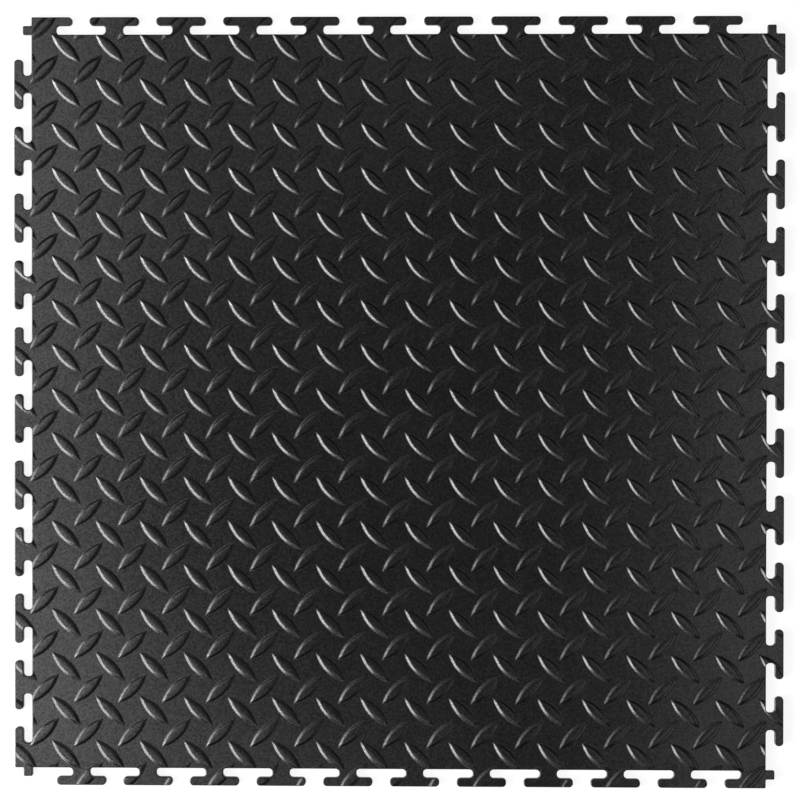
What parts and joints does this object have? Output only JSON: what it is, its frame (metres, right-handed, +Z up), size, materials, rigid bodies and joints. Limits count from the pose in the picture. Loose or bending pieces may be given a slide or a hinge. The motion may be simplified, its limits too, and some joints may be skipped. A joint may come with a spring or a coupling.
{
  "type": "interlocking floor tile",
  "caption": "Square black PVC floor tile with a raised diamond tread and T-shaped interlocking tabs on all edges.",
  "frame": {"origin": "middle of the underside, on the floor", "axes": "+Z up out of the tread; +Y to the back edge and +X to the right edge, both square to the tile's edges. The four edges are alike, so back is a choice"},
  "size_m": [0.5114, 0.5114, 0.0065],
  "materials": {
    "pvc": "satin"
  },
  "bodies": {
    "root": {"plate": "pvc", "rising_lugs": "pvc", "falling_lugs": "pvc", "back_tabs": "pvc", "right_tabs": "pvc", "front_tabs": "pvc", "left_tabs": "pvc", "back_left_corner": "pvc", "back_right_corner": "pvc", "front_right_corner": "pvc", "front_left_corner": "pvc"}
  },
  "joints": []
}
